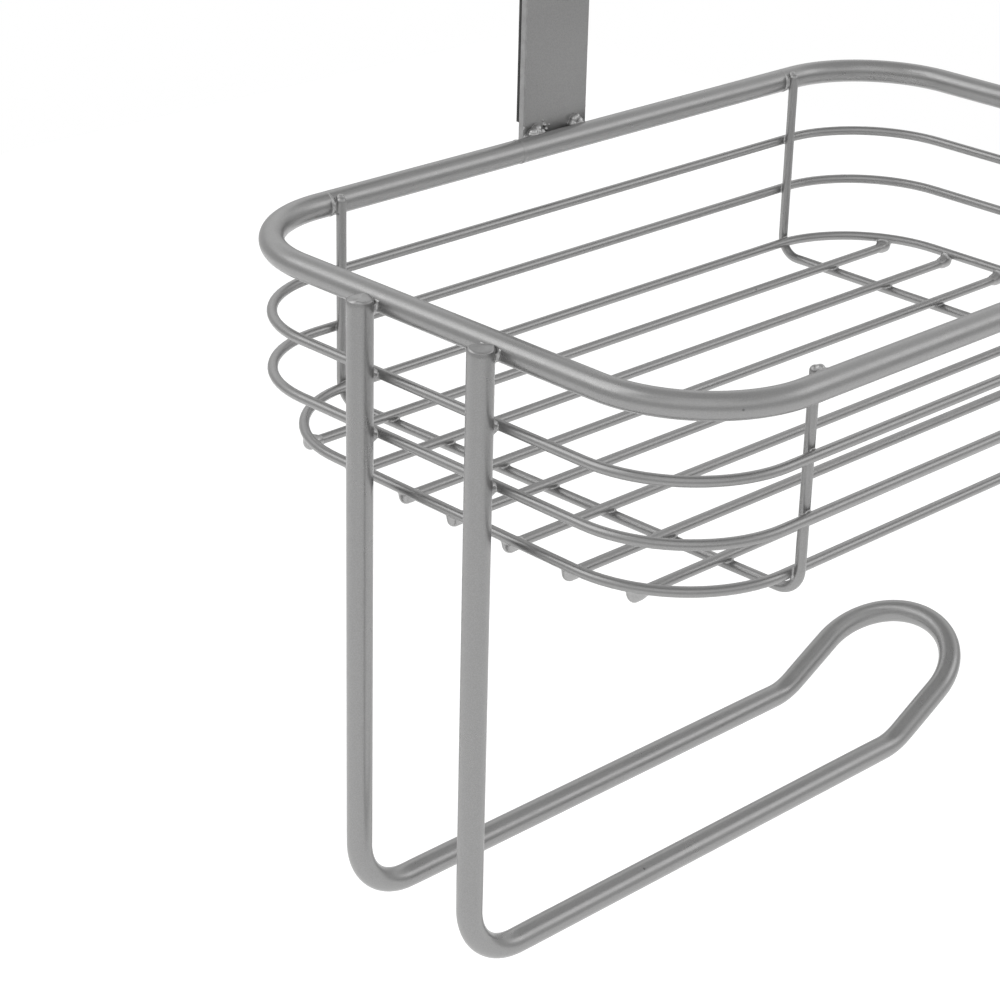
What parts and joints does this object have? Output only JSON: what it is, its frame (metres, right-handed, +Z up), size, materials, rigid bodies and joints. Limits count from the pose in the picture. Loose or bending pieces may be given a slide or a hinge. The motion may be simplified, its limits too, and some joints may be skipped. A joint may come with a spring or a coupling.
{
  "type": "over-tank wire basket with tissue arm",
  "caption": "Welded wire basket hung by a flat over-the-edge hook strap, with a long U-shaped rod arm below it that carries a tissue roll.",
  "frame": {"origin": "middle of the hook's inner seat, the flat underside that rests on the top edge of the tank wall", "axes": "+Z up; +Y from the basket towards the wall that the hook grips; X along the basket, with the legs of the tissue arm at -X"},
  "size_m": [0.2387, 0.1785, 0.2454],
  "materials": {
    "frame": "satin nickel-grey spray finish on welded steel rod, with a faint metallic speckle",
    "weld": "the same spray finish over uneven weld metal",
    "pad": "matt closed-cell foam rubber"
  },
  "bodies": {
    "root": {"rim": "frame", "upper_rail": "frame", "lower_rail": "frame", "base_ring": "frame", "left_rib": "frame", "right_rib": "frame", "base_wire_1": "frame", "base_wire_2": "frame", "base_wire_3": "frame", "base_wire_4": "frame", "base_wire_5": "frame", "base_wire_6": "frame", "base_wire_7": "frame", "tissue_arm": "frame", "hanger_strap": "frame", "back_pad": "pad", "rib_welds": "weld", "arm_welds": "weld", "strap_welds": "weld"}
  },
  "joints": []
}
